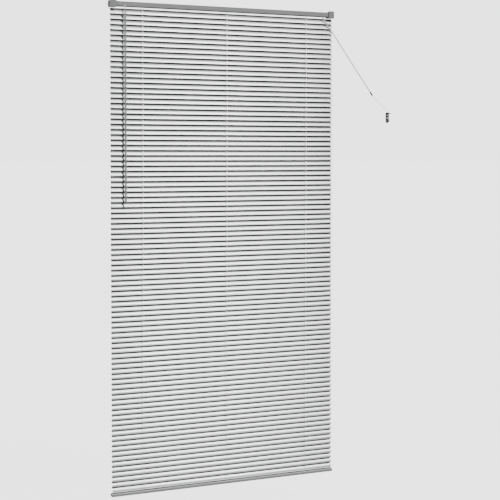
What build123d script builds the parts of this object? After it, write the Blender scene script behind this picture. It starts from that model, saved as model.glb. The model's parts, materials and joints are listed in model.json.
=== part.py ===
from build123d import *
import math
import os

os.makedirs("parts", exist_ok=True)

# A horizontal slat blind on two wall brackets. Millimetres, +Z up, the wall is the plane Y = 0
# and the room lies towards -Y. The origin is the middle of the four wall screw holes.

# Slats
slat_count = 93
slat_pitch = 21.0
slat_width = 25.0
slat_thickness = 0.3
slat_flat_strip = 10.0
slat_side_bend = 12.0
slat_edge_drop = 0.4
slat_tilt = 58.0
route_hole_width = 3.0
route_hole_length = 7.0
route_hole_shift = 1.0

# Heights, down from the headrail's underside to the slats and on to the bottom rail
first_slat_drop = 16.7
bottom_rail_drop = 16.5

# Headrail
headrail_length = 1000.0
headrail_depth = 25.0
headrail_height = 20.0
headrail_wall = 0.6
headrail_corner = 3.0
headrail_lip = 2.5

# End caps
cap_flange = 2.5
cap_overhang = 1.5
cap_plug_length = 12.0
cap_plug_wall = 1.6
cap_plug_gap = 0.15

# Brackets and their doors
bracket_wall = 1.2
bracket_width = 26.0
bracket_gap = 0.3
bracket_side_gap = 0.5
wall_hole_spacing = 13.0
screw_hole_radius = 2.2
hinge_pin_radius = 0.8
hinge_knuckle_radius = 1.7
hinge_knuckle_length = 3.5
hinge_pin_gap = 0.1
hinge_set_back = 1.4
door_gap = 0.3
door_wall = 1.2
door_return = 9.0

# Ladders and lift cords
ladder_inset = 130.0
ladder_string_radius = 0.4
ladder_string_gap = 0.45
rung_radius = 0.35
rung_gap = 0.4
cord_radius = 0.7
cord_offset = 8.0
string_hole_radius = 1.1
cord_hole_radius = 1.3

# Tilt rod and ladder drums
rod_across_flats = 5.0
rod_height = 0.4
rod_fit = 0.05
drum_groove_width = 3.0
drum_flange = 1.0
drum_flange_rise = 0.6
drum_hub_radius = 4.0
drum_hub_length = 2.0
drum_string_clearance = 0.05
drum_sides = 24
bearing_gap = 0.08

# Drum cradles
cradle_plate = 1.0
cradle_cheek = 1.6
cradle_side_gap = 0.3
cradle_half_depth = 9.3
cradle_cheek_half_depth = 6.0
cradle_boss_half_depth = 9.0
cradle_boss_before = 3.0
cradle_boss_after = 11.0
cradle_fit = 0.2
cord_turn_radius = 5.0
saddle_half_width = 4.0
cord_touch_gap = 0.1
cord_run_height = -3.5

# Tilter
tilter_inset = 58.0
tilter_width = 16.0
tilter_half_gear_gap = 0.4
gear_teeth = 12
gear_outer_radius = 5.4
gear_root_radius = 4.0
gear_width = 6.0
gear_hub_radius = 4.0
gear_hub_length = 4.6
worm_centre_distance = 7.6
worm_radius = 2.0
worm_length = 8.0
worm_journal_radius = 1.5
worm_journal_length = 2.4
stub_radius = 2.0
stub_gap = 0.3

# Wand
wand_forward = 17.0
wand_pivot_drop = 23.4
eye_radius = 3.2
eye_hole_radius = 1.7
eye_thickness = 2.0
link_height = 9.0
link_bar = 1.4
link_inner_width = 6.2
wand_across_flats = 7.5
wand_end_height = -803.7
wand_tip_length = 9.0
wand_tip_radius = 1.6
socket_radius = 4.6
socket_length = 16.0
socket_neck = 3.0

# Cord lock
lock_inset = 59.0
lock_pin_radius = 2.5
lock_roller_back = 3.0
lock_roller_radius = 3.0
lock_trunnion_radius = 1.0
lock_travel = 3.0
lock_slot_lean = 30.0
lock_wall = 1.0
lock_cord_spacing = 1.9
lock_first_cord = -6.0
lock_before = 12.0
lock_after = 17.0
lock_cord_height = -1.5
lock_wall_top = 7.5
lock_leave_angles = (40.0, 52.5, 67.0)
mouth_before = 2.5
mouth_after = 13.5
mouth_cord_y = -10.2
mouth_cord_step = 0.25
mouth_cord_height = -9.4
mouth_lip_radius = 1.4
mouth_cheek_y = -11.5
mouth_cheek_bottom = -11.2
mouth_notch_top = -7.6
mouth_window_top = -4.0

# Pull cords, connector and cleat
connector_beyond_end = 198.4
connector_drop = 334.7
connector_length = 20.0
connector_radius = 3.6
connector_waist = 2.6
connector_bite = 2.0
strand_spread = 1.5
strand_start = 6.0
strand_sense = -1
mouth_cord_run = 7.7
cleat_beyond_end = 288.0
cleat_drop = 437.5
cleat_plate_width = 16.0
cleat_plate_height = 48.0
cleat_plate = 3.0
cleat_prong_width = 8.0
cleat_prong_height = 7.0
cleat_upper_reach = 30.0
cleat_lower_reach = 17.0
cleat_upper_rise = 17.5
cleat_lower_fall = 7.5
cleat_lower_hook = 11.0
cleat_hole_spacing = 12.0
cleat_hole_radius = 1.9
pull_cord_radius = 0.75
pull_cord_reach = 8.0
pull_cord_tail = 17.0
pull_cord_turn = 2.6
pull_cord_straight = 6.0
pull_cord_bend = 20.0
pull_cord_fold = 5.0

# Bottom rail
bottom_rail_depth = 24.0
bottom_rail_height = 13.0
bottom_rail_wall = 0.7
bottom_rail_corner = 3.0
rail_cap_flange = 2.0
rail_cap_plug_length = 10.0
ladder_end_depth = 5.0
button_flange_radius = 6.0
button_flange = 1.2
button_plug_radius = 3.9
button_fit = 0.1
button_wall = 1.2
button_sides = 18
button_height = 5.2
knot_radius = 1.9
knot_length = 2.5

# Places that follow from the sizes above
blind_y = -(bracket_wall + bracket_gap + cap_overhang + headrail_depth / 2)
headrail_floor = -headrail_height / 2
headrail_inner_floor = headrail_floor + headrail_wall
headrail_inner_half = headrail_depth / 2 - headrail_wall
tilt = math.radians(slat_tilt)
slat_half_depth = slat_width / 2 * math.cos(tilt)
string_y = slat_half_depth + ladder_string_gap + ladder_string_radius
first_slat_z = headrail_floor - first_slat_drop
last_slat_z = first_slat_z - (slat_count - 1) * slat_pitch
rail_top = last_slat_z - bottom_rail_drop
rail_bottom = rail_top - bottom_rail_height
slat_length = headrail_length
ladder_spacing = slat_length / 2 - ladder_inset
tilter_place = tilter_inset - headrail_length / 2
lock_pin_place = headrail_length / 2 - lock_inset
lock_roller_place = lock_pin_place - lock_roller_back
connector_place = (headrail_length / 2 + connector_beyond_end, blind_y, -connector_drop)
cleat_place = (headrail_length / 2 + cleat_beyond_end, -cleat_drop)
ladder_places = {"left": -ladder_spacing, "centre": 0.0, "right": ladder_spacing}
cradle_top = headrail_inner_floor + cradle_plate
drum_half_width = drum_groove_width / 2 + drum_flange
cheek_inner = drum_half_width + cradle_side_gap
cheek_outer = cheek_inner + cradle_cheek
cap_half_depth = headrail_depth / 2 + cap_overhang
cap_half_height = headrail_height / 2 + cap_overhang
bracket_inner_x = headrail_length / 2 + cap_flange + bracket_side_gap
bracket_outer_x = bracket_inner_x + bracket_wall
bracket_middle_x = bracket_outer_x - bracket_width / 2
bracket_half_height = cap_half_height + bracket_gap + bracket_wall
bracket_front = blind_y - cap_half_depth - bracket_gap
door_back = bracket_front - door_gap
hinge_y = bracket_front + hinge_set_back
hinge_z = bracket_half_height + hinge_knuckle_radius


def blind_point(x, y, z):
    """A point given from the blind's own middle plane instead of the wall."""
    return Vector(x, blind_y + y, z)


def hexagon_radius(across_flats):
    return across_flats / math.sqrt(3)


def side_profile(*shapes):
    """Shapes drawn in the blind's side view, with Y to the right and Z up."""
    sketch = shapes[0]
    for shape in shapes[1:]:
        sketch += shape
    return Plane.YZ * Pos(blind_y, 0) * sketch


def lengthwise(sketch, start, end):
    """Extrudes a side view along X from start to end."""
    return Pos(X=start) * extrude(sketch, end - start, dir=(1, 0, 0))


def x_cylinder(radius, start, end, y, z):
    centre = Pos((start + end) / 2, blind_y + y, z)
    return centre * Rot(Y=90) * Cylinder(radius, abs(end - start))


def x_prism(radius, sides, start, end, y, z):
    """A many-sided wheel or tube along X, with fewer faces than a round one."""
    section = Pos(y, z) * RegularPolygon(radius, sides)
    return lengthwise(side_profile(section), min(start, end), max(start, end))


def z_prism(radius, sides, x, y, bottom, top):
    section = Plane(origin=(x, blind_y + y, bottom)) * RegularPolygon(radius, sides)
    return extrude(section, top - bottom)


def z_cylinder(radius, x, y, bottom, top):
    return Pos(x, blind_y + y, (bottom + top) / 2) * Cylinder(radius, top - bottom)


def block(x_start, x_end, y_start, y_end, z_start, z_end):
    """A box between limits, with Y counted from the blind's middle plane."""
    centre = Pos((x_start + x_end) / 2, blind_y + (y_start + y_end) / 2, (z_start + z_end) / 2)
    return centre * Box(x_end - x_start, abs(y_end - y_start), z_end - z_start)


def straight_cord(start, end, radius):
    """A plain six-sided cord between two points."""
    line = Line(start, end)
    section = Plane(origin=start, z_dir=line % 0) * RegularPolygon(radius, 6)
    return sweep(section, path=line)


def bent_cord(points, radii, radius):
    """A plain six-sided cord along straight runs joined by arcs."""
    path = FilletPolyline(*points, radius=radii)
    section = Plane(origin=points[0], z_dir=path % 0) * RegularPolygon(radius, 6)
    return sweep(section, path=path, transition=Transition.ROUND)


def make_slats():
    """All slats as separate solids of one shape, front edge down."""
    bend = math.radians(slat_side_bend)
    half = slat_width / 2
    side = (half - slat_flat_strip / 2) / math.cos(bend)
    drop = side * math.sin(bend)
    shift_y = slat_thickness * math.sin(bend)
    shift_z = slat_thickness * math.cos(bend)
    corner = slat_thickness * math.tan(bend / 2)
    flat = slat_flat_strip / 2
    outline = Polyline(
        (-half, -drop),
        (-flat, 0),
        (flat, 0),
        (half, -drop),
        (half + shift_y, shift_z - drop),
        (flat + corner, slat_thickness),
        (-flat - corner, slat_thickness),
        (-half - shift_y, shift_z - drop),
        close=True,
    )
    section = Plane.YZ * make_face(outline)
    slat = Pos(X=-slat_length / 2) * extrude(section, slat_length, dir=(1, 0, 0))
    for place in ladder_places.values():
        hole = Box(route_hole_width, route_hole_length, 4 * slat_thickness)
        slat -= Pos(place + cord_offset, route_hole_shift, 0) * hole
    slat = Rot(X=slat_tilt) * Pos(Z=drop - slat_edge_drop) * slat
    slats = [Pos(0, blind_y, first_slat_z - i * slat_pitch) * slat for i in range(slat_count)]
    return Compound(children=slats)


def make_ladder(place):
    """Front and back strings with one rung under each slat."""
    top = rod_height
    bottom = rail_top - ladder_end_depth
    pieces = []
    for side in (-1, 1):
        start = blind_point(place, side * string_y, top)
        end = blind_point(place, side * string_y, bottom)
        pieces.append(straight_cord(start, end, ladder_string_radius))
    reach = string_y - ladder_string_radius
    below = slat_edge_drop + rung_radius + rung_gap
    middle_y = below * math.sin(tilt)
    middle_z = -below * math.cos(tilt)
    front = blind_point(place, -reach, first_slat_z + middle_z - (reach + middle_y) * math.tan(tilt))
    back = blind_point(place, reach, first_slat_z + middle_z + (reach - middle_y) * math.tan(tilt))
    rung_plane = Plane.XZ.offset(-blind_y + reach)
    section = rung_plane * Pos(place, front.Z) * RegularPolygon(rung_radius, 3)
    stretch = (back - front).length
    rung = extrude(section, stretch, dir=back - front)
    for i in range(slat_count):
        pieces.append(Pos(Z=-i * slat_pitch) * rung)
    return Compound(children=pieces)


def make_lift_cord_drop(place):
    """The upright stretch of a lift cord, through the slats to the bottom rail."""
    start = blind_point(place + cord_offset, 0, headrail_floor)
    end = blind_point(place + cord_offset, 0, rail_bottom + button_height - button_wall)
    knot = Plane(origin=end, z_dir=(0, 0, -1)) * RegularPolygon(knot_radius, 6)
    return straight_cord(start, end, cord_radius) + extrude(knot, knot_length)


def headrail_floor_hole(place):
    return block(
        place - cradle_boss_before - cradle_fit,
        place + cradle_boss_after + cradle_fit,
        -cradle_boss_half_depth - cradle_fit,
        cradle_boss_half_depth + cradle_fit,
        headrail_floor - 1,
        headrail_inner_floor + 1,
    )


def worm_line():
    """The worm's nearest point to the rod, its downward direction and its pivot, in the side view."""
    pivot = Vector(0, -wand_forward, -wand_pivot_drop)
    to_pivot = math.atan2(wand_forward, wand_pivot_drop)
    lean = to_pivot - math.asin(worm_centre_distance / pivot.length)
    down = Vector(0, -math.sin(lean), -math.cos(lean))
    nearest = pivot - down * pivot.dot(down)
    return nearest, down, pivot


worm_nearest, worm_down, worm_pivot = worm_line()
rod_centre = Vector(tilter_place, blind_y, rod_height)
worm_plane = Plane(origin=rod_centre + worm_nearest, x_dir=(1, 0, 0), z_dir=worm_down)
pivot_point = rod_centre + worm_pivot
stub_length = (worm_pivot - worm_nearest).length


def along_worm(radius, start, end):
    """A cylinder on the worm's axis, between distances down from its middle."""
    return worm_plane * Pos(Z=(start + end) / 2) * Cylinder(radius, end - start)


def make_headrail():
    outer = Rectangle(headrail_depth, headrail_height)
    outer = fillet(outer.vertices().sort_by(Axis.Y)[:2], headrail_corner)
    inner_height = headrail_height
    inner = Pos(Y=headrail_wall) * Rectangle(headrail_depth - 2 * headrail_wall, inner_height)
    inner = fillet(inner.vertices().sort_by(Axis.Y)[:2], headrail_corner - headrail_wall)
    channel = outer - inner
    lip_centre = headrail_depth / 2 - headrail_wall / 2 - headrail_lip / 2
    for side in (-1, 1):
        lip = Rectangle(headrail_lip + headrail_wall, headrail_wall)
        channel += Pos(side * lip_centre, headrail_height / 2 - headrail_wall / 2) * lip
    rail = lengthwise(side_profile(channel), -headrail_length / 2, headrail_length / 2)
    for place in ladder_places.values():
        rail -= headrail_floor_hole(place)
    rail -= along_worm(stub_radius + stub_gap, 0, stub_length)
    rail -= lock_mouth(cradle_fit)
    return rail


def make_end_cap(side):
    """Flange and hollow plug that close one end of the headrail."""
    end = headrail_length / 2
    flange = RectangleRounded(2 * cap_half_depth, 2 * cap_half_height, headrail_corner)
    cap = lengthwise(side_profile(flange), end, end + cap_flange)
    half = headrail_inner_half - cap_plug_gap
    low = headrail_inner_floor + cap_plug_gap
    high = headrail_height / 2 - headrail_wall - cap_plug_gap
    plug_outer = Pos(Y=(low + high) / 2) * Rectangle(2 * half, high - low)
    plug_outer = fillet(plug_outer.vertices().sort_by(Axis.Y)[:2], headrail_corner - headrail_wall)
    hollow = Rectangle(2 * half - 2 * cap_plug_wall, high - low - 2 * cap_plug_wall)
    plug = plug_outer - Pos(Y=(low + high) / 2) * hollow
    cap += lengthwise(side_profile(plug), end - cap_plug_length, end)
    return cap if side > 0 else mirror(cap, about=Plane.YZ)


def hinge_knuckle(start, end, below):
    """A knuckle round the hinge pin, on a web that reaches down by below."""
    knuckle = x_cylinder(hinge_knuckle_radius, start, end, hinge_y - blind_y, hinge_z)
    web = block(
        start,
        end,
        hinge_y - blind_y - hinge_knuckle_radius,
        hinge_y - blind_y + hinge_knuckle_radius,
        hinge_z - below,
        hinge_z,
    )
    return knuckle + web


def make_bracket(side):
    """Box bracket, open in front and towards the slats, with screw holes and hinge knuckles."""
    back_y = -blind_y
    front_y = bracket_front - blind_y
    inner_x = bracket_outer_x - bracket_width
    half = bracket_half_height
    wall = bracket_wall
    bracket = block(inner_x, bracket_outer_x, front_y, back_y, -half, half)
    bracket -= block(inner_x - 1, bracket_inner_x, front_y - 1, back_y - wall, -half + wall, half - wall)
    for z in (-wall_hole_spacing / 2, wall_hole_spacing / 2):
        hole = Rot(X=90) * Cylinder(screw_hole_radius, 4 * wall)
        bracket -= Pos(bracket_middle_x, 0, z) * hole
    bracket -= z_cylinder(screw_hole_radius, bracket_middle_x, 0, half - 2 * wall, half + wall)
    bracket -= x_cylinder(screw_hole_radius, bracket_inner_x - 1, bracket_outer_x + 1, 0, 0)
    for start in (inner_x, bracket_outer_x - hinge_knuckle_length):
        bracket += hinge_knuckle(start, start + hinge_knuckle_length, hinge_knuckle_radius)
    bracket -= x_cylinder(hinge_pin_radius + hinge_pin_gap, inner_x - 1, bracket_outer_x + 1, hinge_y - blind_y, hinge_z)
    return bracket if side > 0 else mirror(bracket, about=Plane.YZ)


def make_door(side):
    """Swing door that closes a bracket's front and hooks under it."""
    inner_x = bracket_outer_x - bracket_width
    half = bracket_half_height + door_gap + door_wall
    back = door_back - blind_y
    door = block(inner_x, bracket_outer_x, back - door_wall, back, -half, half)
    under = -bracket_half_height - door_gap
    door += block(inner_x, bracket_outer_x, back, back + door_return, under - door_wall, under)
    start = inner_x + hinge_knuckle_length + door_gap
    end = bracket_outer_x - hinge_knuckle_length - door_gap
    knuckle = x_cylinder(hinge_knuckle_radius, start, end, hinge_y - blind_y, hinge_z)
    arm = block(start, end, back - door_wall, hinge_y - blind_y, hinge_z - hinge_knuckle_radius / 2, hinge_z)
    door += knuckle + arm
    door -= x_cylinder(hinge_pin_radius + hinge_pin_gap, start - 1, end + 1, hinge_y - blind_y, hinge_z)
    return door if side > 0 else mirror(door, about=Plane.YZ)


def make_hinge_pin(side):
    pin = x_cylinder(
        hinge_pin_radius, bracket_outer_x - bracket_width, bracket_outer_x, hinge_y - blind_y, hinge_z
    )
    return pin if side > 0 else mirror(pin, about=Plane.YZ)


def make_tilt_rod():
    start = tilter_place - gear_width / 2 - gear_hub_length
    end = ladder_spacing + drum_half_width + drum_hub_length
    section = Pos(Y=rod_height) * RegularPolygon(hexagon_radius(rod_across_flats), 6)
    return lengthwise(side_profile(section), start, end)


def rod_bore(start, end):
    section = Pos(Y=rod_height) * RegularPolygon(hexagon_radius(rod_across_flats) + rod_fit, 6)
    return lengthwise(side_profile(section), start, end)


def make_ladder_drum(place):
    groove = string_y - ladder_string_radius - drum_string_clearance
    flange = string_y + ladder_string_radius + drum_flange_rise
    hub_end = drum_half_width + drum_hub_length
    drum = x_prism(groove, drum_sides, place - drum_half_width, place + drum_half_width, 0, rod_height)
    for side in (-1, 1):
        outer = place + side * drum_half_width
        inner = place + side * drum_groove_width / 2
        drum += x_prism(flange, drum_sides, inner, outer, 0, rod_height)
    drum += x_cylinder(drum_hub_radius, place - hub_end, place + hub_end, 0, rod_height)
    drum -= rod_bore(place - hub_end - 1, place + hub_end + 1)
    return drum


def make_drum_cradle(place):
    """Bearing for one drum, with holes for the strings and a saddle that turns the lift cord."""
    saddle_x = place + cord_offset + cord_turn_radius
    plate_end = saddle_x + cord_turn_radius
    cradle = block(
        place - cheek_outer - 2,
        plate_end,
        -cradle_half_depth,
        cradle_half_depth,
        headrail_inner_floor,
        cradle_top,
    )
    cradle += block(
        place - cradle_boss_before,
        place + cradle_boss_after,
        -cradle_boss_half_depth,
        cradle_boss_half_depth,
        headrail_floor - cradle_fit,
        headrail_inner_floor,
    )
    for side in (-1, 1):
        ends = sorted((place + side * cheek_inner, place + side * cheek_outer))
        cradle += block(*ends, -cradle_cheek_half_depth, cradle_cheek_half_depth, cradle_top, rod_height + 1)
    bore = drum_hub_radius + bearing_gap
    cradle -= x_cylinder(bore, place - cheek_outer - 1, place + cheek_outer + 1, 0, rod_height)
    cradle -= block(place - cheek_outer - 1, place + cheek_outer + 1, -bore, bore, rod_height, rod_height + 2)
    saddle_radius = cord_turn_radius - cord_radius - cord_touch_gap
    saddle_z = cord_run_height - cord_turn_radius
    saddle = Pos(saddle_x, blind_y, saddle_z) * Rot(X=90) * Cylinder(saddle_radius, 2 * saddle_half_width)
    saddle &= block(
        saddle_x - saddle_radius,
        saddle_x + saddle_radius,
        -saddle_half_width,
        saddle_half_width,
        cradle_top,
        saddle_z + saddle_radius + 1,
    )
    cradle += saddle
    for side in (-1, 1):
        cradle -= z_prism(string_hole_radius, 6, place, side * string_y, headrail_floor - 1, cradle_top + 1)
    cradle -= z_prism(cord_hole_radius, 6, place + cord_offset, 0, headrail_floor - 1, cradle_top + 1)
    return cradle


def make_tilter_gear():
    outer = gear_outer_radius
    root = gear_root_radius
    half = gear_width / 2
    teeth = Circle(root)
    tooth_root = math.radians(360 / gear_teeth) * root * 0.32
    tooth_tip = tooth_root * 0.55
    for i in range(gear_teeth):
        tooth = Polygon(
            (root - 0.5, -tooth_root),
            (outer, -tooth_tip),
            (outer, tooth_tip),
            (root - 0.5, tooth_root),
            align=None,
        )
        teeth += Rot(Z=i * 360 / gear_teeth) * tooth
    gear = lengthwise(side_profile(Pos(Y=rod_height) * teeth), tilter_place - half, tilter_place + half)
    for side in (-1, 1):
        ends = sorted((tilter_place + side * half, tilter_place + side * (half + gear_hub_length)))
        gear += x_cylinder(gear_hub_radius, *ends, 0, rod_height)
    reach = half + gear_hub_length + 1
    gear -= rod_bore(tilter_place - reach, tilter_place + reach)
    return gear


def make_tilter_worm():
    """Worm, journal, stub and the eye that the wand's link passes through."""
    worm = along_worm(worm_radius, -worm_length / 2, worm_length / 2)
    worm += along_worm(worm_journal_radius, -worm_length / 2 - worm_journal_length, -worm_length / 2)
    worm += along_worm(stub_radius, worm_length / 2, stub_length - eye_radius + 1)
    eye = worm_plane * Pos(Z=stub_length) * Rot(Y=90) * Cylinder(eye_radius, eye_thickness)
    hole = worm_plane * Pos(Z=stub_length) * Rot(Y=90) * Cylinder(eye_hole_radius, 2 * eye_thickness)
    return worm + eye - hole


def make_tilter_housing():
    """Moulded housing round the gear and the worm, open on top and at the rail's front corner."""
    half = tilter_width / 2
    start = tilter_place - half
    end = tilter_place + half
    back = gear_outer_radius + 3 * tilter_half_gear_gap
    front = headrail_inner_half - tilter_half_gear_gap
    top = headrail_height / 2 - headrail_wall - tilter_half_gear_gap
    low = headrail_inner_floor
    outline = Pos((back - front) / 2, (low + top) / 2) * Rectangle(back + front, top - low)
    outline = fillet(outline.vertices().sort_by(Axis.Y)[:2], headrail_corner - headrail_wall)
    housing = lengthwise(side_profile(outline), start, end)
    cavity = gear_outer_radius + tilter_half_gear_gap
    half_gear = gear_width / 2 + tilter_half_gear_gap
    housing -= x_cylinder(cavity, tilter_place - half_gear, tilter_place + half_gear, 0, rod_height)
    housing -= block(
        tilter_place - half_gear, tilter_place + half_gear, -cavity, cavity, rod_height, top + 1
    )
    bearing = gear_hub_radius + bearing_gap
    housing -= x_cylinder(bearing, start - 1, end + 1, 0, rod_height)
    housing -= block(start - 1, end + 1, -bearing, bearing, rod_height, top + 1)
    worm_room = worm_radius + tilter_half_gear_gap
    housing -= along_worm(worm_room, -worm_length / 2 - tilter_half_gear_gap, worm_length / 2 + tilter_half_gear_gap)
    housing -= along_worm(worm_journal_radius + bearing_gap, -2 * worm_length, 0)
    housing -= along_worm(stub_radius + bearing_gap, 0, stub_length)
    return housing


def make_wand_link():
    """Closed square-wire link that joins the worm's eye to the wand's eye."""
    inner_height = link_height - link_bar
    outer = RectangleRounded(link_inner_width + 2 * link_bar, inner_height + 2 * link_bar, link_bar)
    ring = outer - Rectangle(link_inner_width, inner_height)
    plane = Plane(origin=pivot_point - Vector(0, 0, link_height / 2), x_dir=(1, 0, 0), z_dir=(0, -1, 0))
    return extrude(plane * ring, link_bar / 2, both=True)


def make_wand_socket():
    """Fitting at the wand's top, with the eye for the link."""
    eye_z = pivot_point.Z - link_height
    top = eye_z - eye_radius - 1
    x = pivot_point.X
    y = pivot_point.Y - blind_y
    body = z_cylinder(socket_radius, x, y, top - socket_length, top)
    neck = block(x - eye_thickness / 2, x + eye_thickness / 2, y - socket_neck, y + socket_neck, top, eye_z)
    eye = x_cylinder(socket_neck, x - eye_thickness / 2, x + eye_thickness / 2, y, eye_z)
    socket = body + neck + eye
    socket -= x_cylinder(eye_hole_radius, x - eye_thickness, x + eye_thickness, y, eye_z)
    bore = RegularPolygon(hexagon_radius(wand_across_flats) + rod_fit, 6)
    bore_plane = Plane(origin=(x, pivot_point.Y, top - socket_length))
    socket -= extrude(bore_plane * bore, socket_length - link_bar)
    return socket


def make_tilt_wand():
    """Six-sided wand with a tapered lower end."""
    top = pivot_point.Z - link_height - eye_radius - 1 - link_bar
    taper = wand_end_height + wand_tip_length
    section = RegularPolygon(hexagon_radius(wand_across_flats), 6)
    centre = (pivot_point.X, pivot_point.Y)
    wand = extrude(Plane(origin=(*centre, taper)) * section, top - taper)
    tip = RegularPolygon(wand_tip_radius, 6)
    end = Plane(origin=(*centre, wand_end_height)) * tip
    return wand + loft([Plane(origin=(*centre, taper)) * section, end])


def lock_cord_y(index):
    return lock_first_cord - index * lock_cord_spacing


def lock_inner_faces():
    """The cord lock's two inner wall faces, back one first."""
    back = lock_cord_y(0) + cord_radius + 4 * cord_touch_gap
    front = lock_cord_y(2) - cord_radius - 4 * cord_touch_gap
    return back, front


def mouth_lip_centre():
    """Middle of the rounded lip that turns the cords out of the mouth, as Y and Z."""
    incoming = Vector(lock_cord_y(0) - mouth_cord_y, lock_cord_height - mouth_cord_height).normalized()
    bisector = (incoming + Vector(0, -1)).normalized()
    half_turn = incoming.get_angle(Vector(0, 1)) / 2
    reach = (mouth_lip_radius + cord_radius + cord_touch_gap) / math.cos(math.radians(half_turn))
    return mouth_cord_y + reach * bisector.X, mouth_cord_height + reach * bisector.Y


def lock_mouth(gap):
    """The notch in the headrail's front lower edge for the mouth."""
    lip_y, lip_z = mouth_lip_centre()
    return block(
        lock_pin_place + mouth_before - lock_wall - gap,
        lock_pin_place + mouth_after + lock_wall + gap,
        -headrail_depth / 2 - 1,
        lip_y + mouth_lip_radius + gap,
        headrail_floor - 1,
        mouth_notch_top,
    )


def lock_slot(start, end, radius):
    """The slanted slot in which the roller's ends run, between two Y values."""
    roller = Vector(lock_roller_place, 0, lock_roller_height())
    lean = math.radians(lock_slot_lean)
    travel = Vector(-math.sin(lean), 0, math.cos(lean)) * lock_travel
    slot = Pos(roller + Vector(0, blind_y + (start + end) / 2, 0)) * Rot(X=90) * Cylinder(radius, abs(end - start))
    far = Pos(roller + travel + Vector(0, blind_y + (start + end) / 2, 0))
    slot += far * Rot(X=90) * Cylinder(radius, abs(end - start))
    middle = roller + travel * 0.5 + Vector(0, blind_y + (start + end) / 2, 0)
    slot += Pos(middle) * Rot(Y=-lock_slot_lean) * Box(2 * radius, abs(end - start), lock_travel)
    return slot


def lock_roller_height():
    return lock_cord_height + cord_radius + cord_touch_gap + lock_roller_radius


def lock_pin_height():
    return lock_cord_height - cord_radius - cord_touch_gap - lock_pin_radius


def headrail_inside(start, end, gap):
    """The space inside the headrail, less a gap, between two X values."""
    width = 2 * (headrail_inner_half - gap)
    height = headrail_height
    space = Rectangle(width, height)
    space = fillet(space.vertices().sort_by(Axis.Y)[:2], headrail_corner - headrail_wall)
    return lengthwise(side_profile(Pos(Y=headrail_wall) * space), start, end)


def make_cord_lock_body():
    """Floor plate, two walls with slanted slots, and the mouth with its rounded lip."""
    back, front = lock_inner_faces()
    start = lock_pin_place - lock_before
    end = lock_pin_place + lock_after
    low = headrail_inner_floor
    body = block(start, end, front - lock_wall, back + lock_wall, low, low + lock_wall)
    for face, outer in ((back, back + lock_wall), (front, front - lock_wall)):
        body += block(start, end - lock_wall, *sorted((face, outer)), low, lock_wall_top)
    body &= headrail_inside(start, end, cap_plug_gap)
    mouth_start = lock_pin_place + mouth_before
    mouth_end = lock_pin_place + mouth_after
    lip_y, lip_z = mouth_lip_centre()
    body -= block(mouth_start, mouth_end, -headrail_depth / 2, lip_y, low - 1, low + lock_wall + 1)
    body -= block(mouth_start, mouth_end, -headrail_depth / 2, front + 0.1, low - 1, mouth_window_top)
    body += block(mouth_start, mouth_end, lip_y, lip_y + mouth_lip_radius, lip_z, low + lock_wall)
    body += x_cylinder(mouth_lip_radius, mouth_start, mouth_end, lip_y, lip_z)
    for a, b in ((mouth_start - lock_wall, mouth_start), (mouth_end, mouth_end + lock_wall)):
        body += block(a, b, mouth_cheek_y, lip_y + mouth_lip_radius, mouth_cheek_bottom, low + lock_wall)
    for a, b in ((back, back + lock_wall), (front - lock_wall, front)):
        body -= lock_slot(a - 0.5, b + 0.5, lock_trunnion_radius + bearing_gap)
    pin = Pos(lock_pin_place, blind_y + (back + front) / 2, lock_pin_height())
    body -= pin * Rot(X=90) * Cylinder(lock_pin_radius / 2 + rod_fit, back - front + 4 * lock_wall)
    return body


def make_cord_lock_pin():
    """Fixed shouldered pin that the cords turn over."""
    back, front = lock_inner_faces()
    centre = Pos(lock_pin_place, blind_y + (back + front) / 2, lock_pin_height())
    pin = centre * Rot(X=90) * Cylinder(lock_pin_radius, back - front - 2 * cord_touch_gap)
    pin += centre * Rot(X=90) * Cylinder(lock_pin_radius / 2, back - front + 2 * lock_wall)
    return pin


def make_cord_lock_roller():
    """Roller that drops onto the cords and pinches them."""
    back, front = lock_inner_faces()
    centre = Pos(lock_roller_place, blind_y + (back + front) / 2, lock_roller_height())
    roller = centre * Rot(X=90) * Cylinder(lock_roller_radius, back - front - 4 * cord_touch_gap)
    roller += centre * Rot(X=90) * Cylinder(lock_trunnion_radius, back - front + 2 * lock_wall)
    return roller


connector_middle = Vector(*connector_place)
mouth_middle = blind_point(lock_pin_place + mouth_cord_run, mouth_cord_y, mouth_cord_height)
strand_direction = (connector_middle - mouth_middle).normalized()
strand_side = strand_direction.cross(Vector(0, 1, 0)).normalized()
connector_top = connector_middle - strand_direction * (connector_length / 2)
connector_end = connector_middle + strand_direction * (connector_length / 2)


def strand_points(index):
    """Where a cord turns in the lock and at its mouth, meets its strand, and enters the connector."""
    angle = math.radians(lock_leave_angles[index])
    turn_radius = lock_pin_radius + cord_radius + cord_touch_gap
    turn = blind_point(
        lock_pin_place + turn_radius * math.tan(angle / 2), lock_cord_y(index), lock_cord_height
    )
    drop = lock_cord_height - mouth_cord_height
    mouth_y = mouth_cord_y - index * mouth_cord_step
    mouth = blind_point(turn.X + drop / math.tan(angle), mouth_y, mouth_cord_height)
    inside = connector_top + strand_direction * connector_bite
    inside += strand_side * ((index - 1) * strand_sense * strand_spread)
    joint = mouth + (inside - mouth).normalized() * strand_start
    return turn, mouth, joint, inside


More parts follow.
